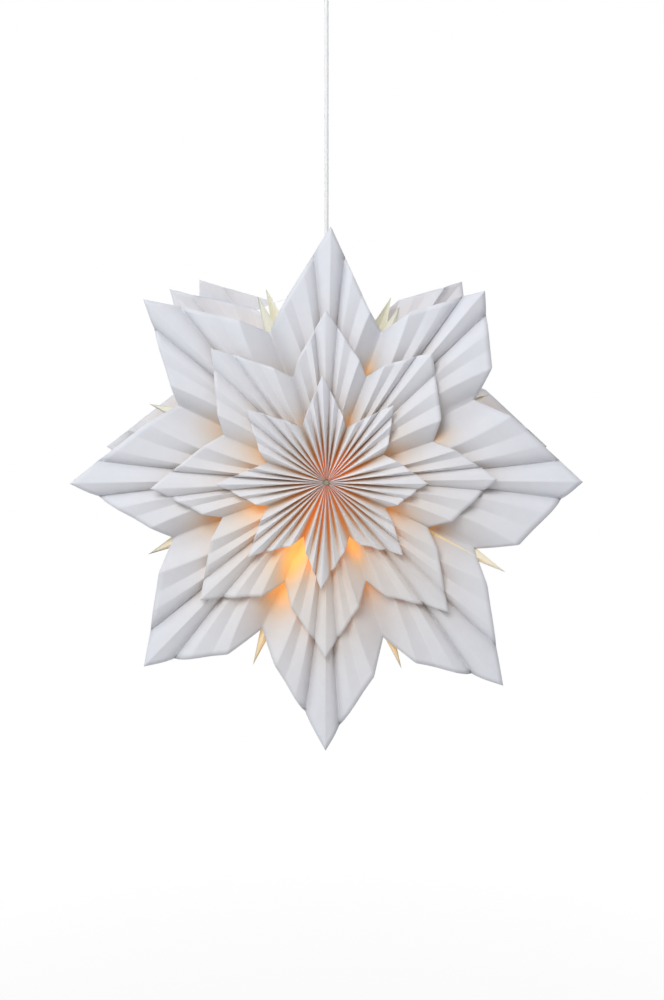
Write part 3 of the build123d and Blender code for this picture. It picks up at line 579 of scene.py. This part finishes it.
def folded_bag(number, turn, reach, proud):
    """A flat paper bag on edge between the stars. Round its section run a front ridge, a side, a back ridge and the
    other side; every line of the section runs outwards until it meets the slanting cut that leaves the two points."""
    reach = reach * MM
    shares = np.linspace(1, -1, BAG_STEPS)
    section = [(1, share) for share in shares] + [(-1, -share) for share in shares]
    rows = np.linspace(0, 1, BAG_ROWS)
    ridge_out = bag_half_depth(reach)
    shoulder_out = bag_half_depth(BAG_NOTCH) - BAG_SHOULDER
    points = []
    for wall in (0.0, PAPER):
        for way, share in section:
            depth_out = abs(share) * ridge_out
            cut = np.interp(depth_out, [0, shoulder_out, ridge_out], [BAG_MIDDLE, BAG_NOTCH, reach])
            radius = BAG_INNER + rows * (cut - BAG_INNER)
            ridge = bag_half_depth(radius) + proud * MM
            depth = share * ridge
            from_ridge = ridge - np.abs(depth)
            width = BAG_HALF_WIDTH * np.clip(from_ridge / BAG_SHOULDER, 0, 1) ** BAG_ROUNDING
            x = way * np.maximum(width - wall, 0.0)
            points.append(np.stack([x, depth, radius], axis=1))
    a = math.radians(turn)
    x, y, radius = np.moveaxis(np.array(points), 2, 0)
    world = np.stack(
        [x * math.cos(a) + radius * math.sin(a), y, STAR_Z - x * math.sin(a) + radius * math.cos(a)], axis=-1
    ).reshape(-1, 3)
    faces = shell_faces(len(section), len(rows), True)
    piece = make_object(f"paper_bag_{number}", world, faces, "lamp")
    near = inner_light(world, *BAG_LIGHT)[:, None]
    # painted light from the bulb: near it the bag's cream turns amber and gives out a painted glow
    paint(piece, "paper_tone_and_painted_light", BAG_CREAM * (1 - near) + BAG_BULB_LIT * near)
    paint(piece, "bulb_glow", near * BAG_GLOW)
    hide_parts(f"folded_bag_{len(BAG_TURN) + 1 - number}")  # the solids are numbered the other way round
    return piece


bags = [folded_bag(number + 1, *bag) for number, bag in enumerate(zip(BAG_TURN, BAG_REACH, BAG_PROUD))]

# ---------------------------------------------------------------- hub cores


def hub_core(word, side):
    """The core that the pleats are glued round."""

    def place(across, up, out):
        return across, -side * out, STAR_Z + up

    piece = turned(f"{word}_core", np.array(HUB_CORE) * MM, place, "lamp", HUB_SIDES, smooth=False)
    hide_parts(f"{word}_hub_core")
    return piece


cores = [hub_core("front", 1), hub_core("back", -1)]

# ---------------------------------------------------------------- ceiling cup


def ceiling_cup():
    """A smooth cup: its outline runs down as a quarter of a rounded square, from the rim to the hole for the cord."""
    turn = np.linspace(0, np.pi / 2, CUP_STEPS)
    lines = []
    for wall in (0.0, CUP_WALL):
        across = CUP_RADIUS - wall - CUP_HOLE
        down = CUP_TOP - CUP_BOTTOM - wall
        radius = CUP_HOLE + across * np.cos(turn) ** CUP_ROUNDING[0]
        height = CUP_TOP - down * np.sin(turn) ** CUP_ROUNDING[1]
        lines.append(np.stack([radius, height], axis=1))
    outline = np.concatenate([lines[0], lines[1][::-1]])
    piece = turned("smooth_ceiling_cup", outline, lambda *point: point, "cup", CUP_SIDES)
    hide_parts("ceiling_cup")
    return piece


smooth_cup = ceiling_cup()

# ---------------------------------------------------------------- cord


def route(*points):
    """The cord's centreline: a NURBS line through its few control points, read back as points."""
    curve = bpy.data.curves.new("route", "CURVE")
    curve.dimensions = "3D"
    spline = curve.splines.new("NURBS")
    spline.points.add(len(points) - 1)
    for point, place in zip(spline.points, points):
        point.co = (*place, 1)
    spline.order_u = 3
    spline.use_endpoint_u = True
    spline.resolution_u = 24
    carrier = bpy.data.objects.new("route", curve)
    bpy.context.scene.collection.objects.link(carrier)
    bpy.context.view_layer.update()
    line = bpy.data.meshes.new_from_object(carrier)
    path = np.array([v.co for v in line.vertices])
    bpy.data.objects.remove(carrier)
    bpy.data.meshes.remove(line)
    return path


def cord_tube(name, path):
    """A round tube along a path that runs straight down: a ring of points at every step, closed by two caps."""
    side = np.arange(CORD_SIDES)
    after = (side + 1) % CORD_SIDES
    turn = side * 2 * np.pi / CORD_SIDES
    ring = np.stack([np.cos(turn), np.sin(turn), 0 * turn], axis=1) * CORD_RADIUS
    points = (path[:, None, :] + ring[None]).reshape(-1, 3)
    start = np.arange(len(path) - 1)[:, None] * CORD_SIDES
    walls = np.stack([start + side, start + CORD_SIDES + side, start + CORD_SIDES + after, start + after], axis=2)
    top = np.stack([np.full(CORD_SIDES, len(points)), side, after], axis=1)
    last = len(points) - CORD_SIDES
    bottom = np.stack([np.full(CORD_SIDES, len(points) + 1), last + after, last + side], axis=1)
    faces = walls.reshape(-1, 4).tolist() + top.tolist() + bottom.tolist()
    return add_piece(name, np.concatenate([points, path[[0, -1]]]), faces, None)


def cord_end(node, end):
    low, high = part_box(node)
    return (0.0, 0.0, high.z if end == "top" else low.z)


# ---------------------------------------------------------------- materials

BROAD_SCALE = 0.12  # the broad noise's scale as a share of the fine one's
FIBRES, CLOUDS = (900, 0.035), (70, 0.05)  # scale and strength of the paper's two grains
PAPER_BUMP, PLAIN_BUMP, GLASS_BUMP = (0.08 * MM, 0.4), (0.05 * MM, 0.4), (0.1 * MM, 0.15)  # height and strength


def new_material(name):
    material = bpy.data.materials.new(name)
    material.use_nodes = True
    tree = material.node_tree
    return material, tree, tree.nodes["Principled BSDF"]


def link(tree, start, end):
    tree.links.new(start, end)


def math_node(tree, operation, first, second):
    """The output of a maths node; each of its two values is another node's output or a plain number."""
    node = tree.nodes.new("ShaderNodeMath")
    node.operation = operation
    for socket, value in zip(node.inputs, (first, second)):
        if isinstance(value, float):
            socket.default_value = value
        else:
            link(tree, value, socket)
    return node.outputs[0]


def grain_group():
    """Fine unevenness of a surface: a mask that hovers round 1 and a height, from two sizes of noise."""
    group = bpy.data.node_groups.new("fine_grain", "ShaderNodeTree")
    for name, way, kind in (
        ("Scale", "INPUT", "Float"),
        ("Strength", "INPUT", "Float"),
        ("Stretch", "INPUT", "Vector"),
        ("Shade", "OUTPUT", "Float"),
        ("Height", "OUTPUT", "Float"),
    ):
        group.interface.new_socket(name, in_out=way, socket_type=f"NodeSocket{kind}")
    nodes = group.nodes
    inputs, outputs = nodes.new("NodeGroupInput"), nodes.new("NodeGroupOutput")
    place = nodes.new("ShaderNodeTexCoord")
    mapping = nodes.new("ShaderNodeMapping")
    fine, broad = nodes.new("ShaderNodeTexNoise"), nodes.new("ShaderNodeTexNoise")
    fine.inputs["Detail"].default_value = 6
    broad.inputs["Detail"].default_value = 3
    scale, strength = inputs.outputs["Scale"], inputs.outputs["Strength"]
    link(group, place.outputs["Object"], mapping.inputs["Vector"])
    link(group, inputs.outputs["Stretch"], mapping.inputs["Scale"])
    for noise in (fine, broad):
        link(group, mapping.outputs["Vector"], noise.inputs["Vector"])
    link(group, scale, fine.inputs["Scale"])
    link(group, math_node(group, "MULTIPLY", scale, BROAD_SCALE), broad.inputs["Scale"])
    centred = math_node(group, "SUBTRACT", math_node(group, "ADD", fine.outputs["Fac"], broad.outputs["Fac"]), 1.0)
    shade = math_node(group, "ADD", math_node(group, "MULTIPLY", centred, strength), 1.0)
    link(group, shade, outputs.inputs["Shade"])
    link(group, fine.outputs["Fac"], outputs.inputs["Height"])
    return group


GRAIN = grain_group()


def add_grain(tree, scale, strength, stretch=(1, 1, 1)):
    node = tree.nodes.new("ShaderNodeGroup")
    node.node_tree = GRAIN
    node.inputs["Scale"].default_value = scale
    node.inputs["Strength"].default_value = strength
    node.inputs["Stretch"].default_value = stretch
    return node


def add_bump(tree, shader, height, distance, strength):
    bump = tree.nodes.new("ShaderNodeBump")
    bump.inputs["Distance"].default_value = distance
    bump.inputs["Strength"].default_value = strength
    link(tree, height, bump.inputs["Height"])
    link(tree, bump.outputs["Normal"], shader.inputs["Normal"])


def shaded_colour(tree, colour_socket, shade_socket):
    """The colour with each channel multiplied by the grain's shade."""
    scale = tree.nodes.new("ShaderNodeVectorMath")
    scale.operation = "SCALE"
    link(tree, colour_socket, scale.inputs[0])
    link(tree, shade_socket, scale.inputs["Scale"])
    return scale.outputs["Vector"]


def paper_material(name, roughness):
    """Folded paper: its tone with painted light and shade, and the bulb's painted glow, come from the sheet's own
    points, its fibres from grain.
    """
    material, tree, shader = new_material(name)
    tone_with_painted_light = tree.nodes.new("ShaderNodeAttribute")
    tone_with_painted_light.attribute_name = "paper_tone_and_painted_light"
    glow = tree.nodes.new("ShaderNodeAttribute")
    glow.attribute_name = "bulb_glow"
    fibres = add_grain(tree, *FIBRES)
    clouds = add_grain(tree, *CLOUDS)
    toned = shaded_colour(tree, tone_with_painted_light.outputs["Color"], fibres.outputs["Shade"])
    link(tree, shaded_colour(tree, toned, clouds.outputs["Shade"]), shader.inputs["Base Color"])
    link(tree, shaded_colour(tree, glow.outputs["Color"], clouds.outputs["Shade"]), shader.inputs["Emission Color"])
    shader.inputs["Emission Strength"].default_value = 1.0
    shader.inputs["Roughness"].default_value = roughness
    shader.inputs["Specular IOR Level"].default_value = 0.25
    add_bump(tree, shader, fibres.outputs["Height"], *PAPER_BUMP)
    return material


def plain_material(name, colour, roughness, scale=600, strength=0.04, metallic=0.0, stretch=(1, 1, 1)):
    """Plastic, ceramic, enamel or metal: one colour broken by fine grain, with the same grain in its gloss."""
    material, tree, shader = new_material(name)
    grain = add_grain(tree, scale, strength, stretch)
    base = tree.nodes.new("ShaderNodeRGB")
    base.outputs[0].default_value = (*colour, 1)
    link(tree, shaded_colour(tree, base.outputs[0], grain.outputs["Shade"]), shader.inputs["Base Color"])
    link(tree, math_node(tree, "MULTIPLY", grain.outputs["Shade"], roughness), shader.inputs["Roughness"])
    shader.inputs["Metallic"].default_value = metallic
    add_bump(tree, shader, grain.outputs["Height"], *PLAIN_BUMP)
    return material


star_paper = paper_material("star_paper", 0.75)
bag_paper = paper_material("bag_paper", 0.7)
for piece in sheets:
    piece.data.materials.append(star_paper)
for piece in bags:
    piece.data.materials.append(bag_paper)

hub_plastic = plain_material("hub_plastic", (0.42, 0.37, 0.30), 0.55)
for piece in cores:
    piece.data.materials.append(hub_plastic)

# Colour and roughness of each, then what its grain and metal have of their own.
PLAIN_FINISHES = {
    "pin_metal": dict(colour=(0.30, 0.27, 0.19), roughness=0.5, metallic=0.3),
    "spring_wire": dict(
        colour=(0.55, 0.55, 0.56), roughness=0.3, scale=300, strength=0.08, metallic=1.0, stretch=(8, 8, 1)
    ),
    "holder_plastic": dict(colour=(0.78, 0.78, 0.76), roughness=0.35),
    "white_ceramic": dict(colour=(0.80, 0.78, 0.73), roughness=0.6, scale=900, strength=0.08),
    "brass": dict(colour=(0.78, 0.57, 0.25), roughness=0.28, scale=400, strength=0.08, metallic=1.0),
    "steel_screw": dict(colour=(0.55, 0.55, 0.57), roughness=0.32, scale=400, strength=0.08, metallic=1.0),
    "copper": dict(
        colour=(0.80, 0.42, 0.24), roughness=0.35, scale=400, strength=0.1, metallic=1.0, stretch=(1, 1, 8)
    ),
    "bulb_cap_metal": dict(
        colour=(0.72, 0.72, 0.70), roughness=0.3, scale=300, strength=0.08, metallic=1.0, stretch=(1, 1, 6)
    ),
    "black_glaze": dict(colour=(0.02, 0.02, 0.02), roughness=0.15),
    "solder": dict(colour=(0.60, 0.60, 0.60), roughness=0.4, scale=300, strength=0.12, metallic=1.0),
    "plate_metal": dict(colour=(0.76, 0.76, 0.75), roughness=0.4),
    "white_plastic": dict(colour=(0.79, 0.79, 0.78), roughness=0.5, scale=500, strength=0.03),
    "cord_sheath": dict(colour=(0.88, 0.88, 0.87), roughness=0.5, scale=700, strength=0.05),
}
finishes = {name: plain_material(name, **values) for name, values in PLAIN_FINISHES.items()}


def glass_material():
    """Clear bulb glass, a little warm from the light inside it."""
    material, tree, shader = new_material("bulb_glass")
    shader.inputs["Base Color"].default_value = (1.0, 0.97, 0.92, 1)
    shader.inputs["Roughness"].default_value = 0.04
    shader.inputs["IOR"].default_value = 1.45
    shader.inputs["Transmission Weight"].default_value = 0.92
    shader.inputs["Emission Color"].default_value = (1.0, 0.62, 0.25, 1)
    shader.inputs["Emission Strength"].default_value = 0.5
    grain = add_grain(tree, 60, 0.02)
    add_bump(tree, shader, grain.outputs["Height"], *GLASS_BUMP)
    return material


def filament_material():
    """Phosphor strips: yellow, lit, brighter in the middle of their grain."""
    material, tree, shader = new_material("lit_filament")
    grain = add_grain(tree, 500, 0.3)
    colour = tree.nodes.new("ShaderNodeRGB")
    colour.outputs[0].default_value = (1.0, 0.62, 0.22, 1)
    lit = shaded_colour(tree, colour.outputs[0], grain.outputs["Shade"])
    link(tree, lit, shader.inputs["Base Color"])
    link(tree, lit, shader.inputs["Emission Color"])
    shader.inputs["Emission Strength"].default_value = 4.0
    return material


finishes["bulb_glass"] = glass_material()
finishes["lit_filament"] = filament_material()
smooth_cup.data.materials.append(finishes["white_plastic"])

for subpart in frame["record"]["subparts"]:
    node = frame["nodes"][subpart["node"]]
    material = finishes.get(subpart["material_slot"])
    if material is not None:
        for place in node.material_slots:
            place.material = material
        if not node.material_slots:
            node.data.materials.append(material)

# ---------------------------------------------------------------- the cord's two lengths

top = cord_end("cord_upper", "top")
bend_low, bend_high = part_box("cord_bend")
bend_middle = (bend_low.z + bend_high.z) / 2
swing_high = (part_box("cord_upper")[0].z + bend_high.z) / 2
swing_low = (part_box("cord_free")[1].z + bend_low.z) / 2
end = cord_end("cord_free", "bottom")

upper_path = route(top, (0, 0, (top[2] + swing_high) / 2), (0, 0, swing_high), (0, 0, bend_middle))
upper_cord = cord_tube("cord_above", upper_path)
upper_cord.data.materials.append(finishes["cord_sheath"])
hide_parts("cord_upper", "cord_bend")
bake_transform(upper_cord)

lower_path = route((0, 0, bend_middle), (0, 0, swing_low), (0, 0, (swing_low + end[2]) / 2), end)
lower_cord = cord_tube("cord_below", lower_path)
lower_cord.data.materials.append(finishes["cord_sheath"])
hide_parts("cord_free")
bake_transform(lower_cord)

# ---------------------------------------------------------------- floor, light and camera

FLOOR_Z, FLOOR_HALF = -2.4, 14.0
FLOOR_FADE = 2.5, 3.3  # how far from the lamp the floor begins to turn white, and where it is all white
FLOOR_WHITE = 0.8  # how much of it is white nearer by

SOFT_LIGHT = (0.93, 0.95, 1.0, 1), 0.40  # colour and strength of the light from all round

# Name, place, width in metres, power in watts, colour; each light points at the star.
LIGHTS = [
    ("key", (-0.7, -2.1, 0.9), 1.5, 41, (0.985, 0.985, 1.0)),
    ("cool_fill", (-2.6, -0.9, 0.3), 1.2, 9, (0.75, 0.95, 1.0)),
    ("back_key", (0.9, 2.1, 1.0), 1.5, 35, (1.0, 0.995, 0.98)),
]


def white_to_the_camera(tree, lit_socket, out_socket, share):
    """Shows plain white to the camera, to mirrors and through glass, and the lit surface to everything else; share
    is how much of the camera's view is plain white, as a number or as a socket."""
    path = tree.nodes.new("ShaderNodeLightPath")
    for_surface = out_socket.node.type == "OUTPUT_MATERIAL"
    white = tree.nodes.new("ShaderNodeEmission" if for_surface else "ShaderNodeBackground")
    white.inputs["Color"].default_value = (1, 1, 1, 1)
    white.inputs["Strength"].default_value = 1.0
    seen = math_node(tree, "MAXIMUM", path.outputs["Is Camera Ray"], path.outputs["Is Glossy Ray"])
    seen = math_node(tree, "MAXIMUM", seen, path.outputs["Is Transmission Ray"])
    blend = tree.nodes.new("ShaderNodeMixShader")
    link(tree, math_node(tree, "MULTIPLY", seen, share), blend.inputs[0])
    link(tree, lit_socket, blend.inputs[1])
    link(tree, white.outputs[0], blend.inputs[2])
    link(tree, blend.outputs[0], out_socket)


def floor():
    """A plain pale floor that keeps the lamp's shadow under it and turns white further off."""
    mesh = bpy.data.meshes.new("floor")
    corners = [(FLOOR_HALF * x, FLOOR_HALF * y, FLOOR_Z) for x, y in ((-1, -1), (1, -1), (1, 1), (-1, 1))]
    mesh.from_pydata(corners, [], [(0, 1, 2, 3)])
    piece = bpy.data.objects.new("floor", mesh)
    bpy.context.scene.collection.objects.link(piece)
    material, tree, shader = new_material("floor")
    shader.inputs["Base Color"].default_value = (0.92, 0.92, 0.92, 1)
    shader.inputs["Roughness"].default_value = 0.9
    place = tree.nodes.new("ShaderNodeTexCoord")
    away = tree.nodes.new("ShaderNodeVectorMath")
    away.operation = "LENGTH"
    link(tree, place.outputs["Object"], away.inputs[0])
    share = tree.nodes.new("ShaderNodeMapRange")
    share.inputs["From Min"].default_value, share.inputs["From Max"].default_value = FLOOR_FADE
    share.inputs["To Min"].default_value, share.inputs["To Max"].default_value = FLOOR_WHITE, 1.0
    link(tree, away.outputs["Value"], share.inputs["Value"])
    output = tree.nodes["Material Output"].inputs["Surface"]
    white_to_the_camera(tree, shader.outputs[0], output, share.outputs["Result"])
    mesh.materials.append(material)


def world():
    """Soft even light from all round, and plain white where the camera sees past everything."""
    sky = bpy.data.worlds.new("studio")
    bpy.context.scene.world = sky
    sky.use_nodes = True
    tree = sky.node_tree
    soft = tree.nodes["Background"]
    soft.inputs["Color"].default_value, soft.inputs["Strength"].default_value = SOFT_LIGHT
    white_to_the_camera(tree, soft.outputs[0], tree.nodes["World Output"].inputs["Surface"], 1.0)


def area_light(name, place, width, power, colour):
    lamp = bpy.data.lights.new(name, "AREA")
    lamp.shape = "DISK"
    lamp.size = width
    lamp.energy = power
    lamp.color = colour
    holder = bpy.data.objects.new(name, lamp)
    holder.location = place
    away = np.array(place) - np.array((0, 0, STAR_Z))
    holder.rotation_mode = "QUATERNION"
    holder.rotation_quaternion = Vector(away).to_track_quat("Z", "Y")
    bpy.context.scene.collection.objects.link(holder)


floor()
world()
for light in LIGHTS:
    area_light(*light)

# The photograph was taken from above the star's middle, looking a little down, with the view shifted on top of that.
PHOTO_WIDTH, PHOTO_HEIGHT = 664, 1000
FOCAL_PIXELS = 1238.7
CAMERA_PLACE = (0.0, -1.557, -0.3835)
CAMERA_PITCH = 2.5
STAR_PIXEL = (326.5, 482.2)  # where the middle of the front star is in the photograph

camera = bpy.data.cameras.new("camera")
camera.sensor_width = 36.0
camera.lens = FOCAL_PIXELS / PHOTO_HEIGHT * camera.sensor_width
drop = math.atan2(CAMERA_PLACE[2] - STAR_Z, -STAR_DEPTH / 2 - CAMERA_PLACE[1]) - math.radians(CAMERA_PITCH)
principal_x = STAR_PIXEL[0]
principal_y = STAR_PIXEL[1] - FOCAL_PIXELS * math.tan(drop)
camera.shift_x = (PHOTO_WIDTH / 2 - principal_x) / PHOTO_HEIGHT
camera.shift_y = (principal_y - PHOTO_HEIGHT / 2) / PHOTO_HEIGHT
camera.clip_start = 0.05
viewer = bpy.data.objects.new("camera", camera)
viewer.location = CAMERA_PLACE
viewer.rotation_euler = (math.radians(90 - CAMERA_PITCH), 0, 0)
bpy.context.scene.collection.objects.link(viewer)
bpy.context.scene.camera = viewer
bpy.context.scene.view_settings.view_transform = "Standard"
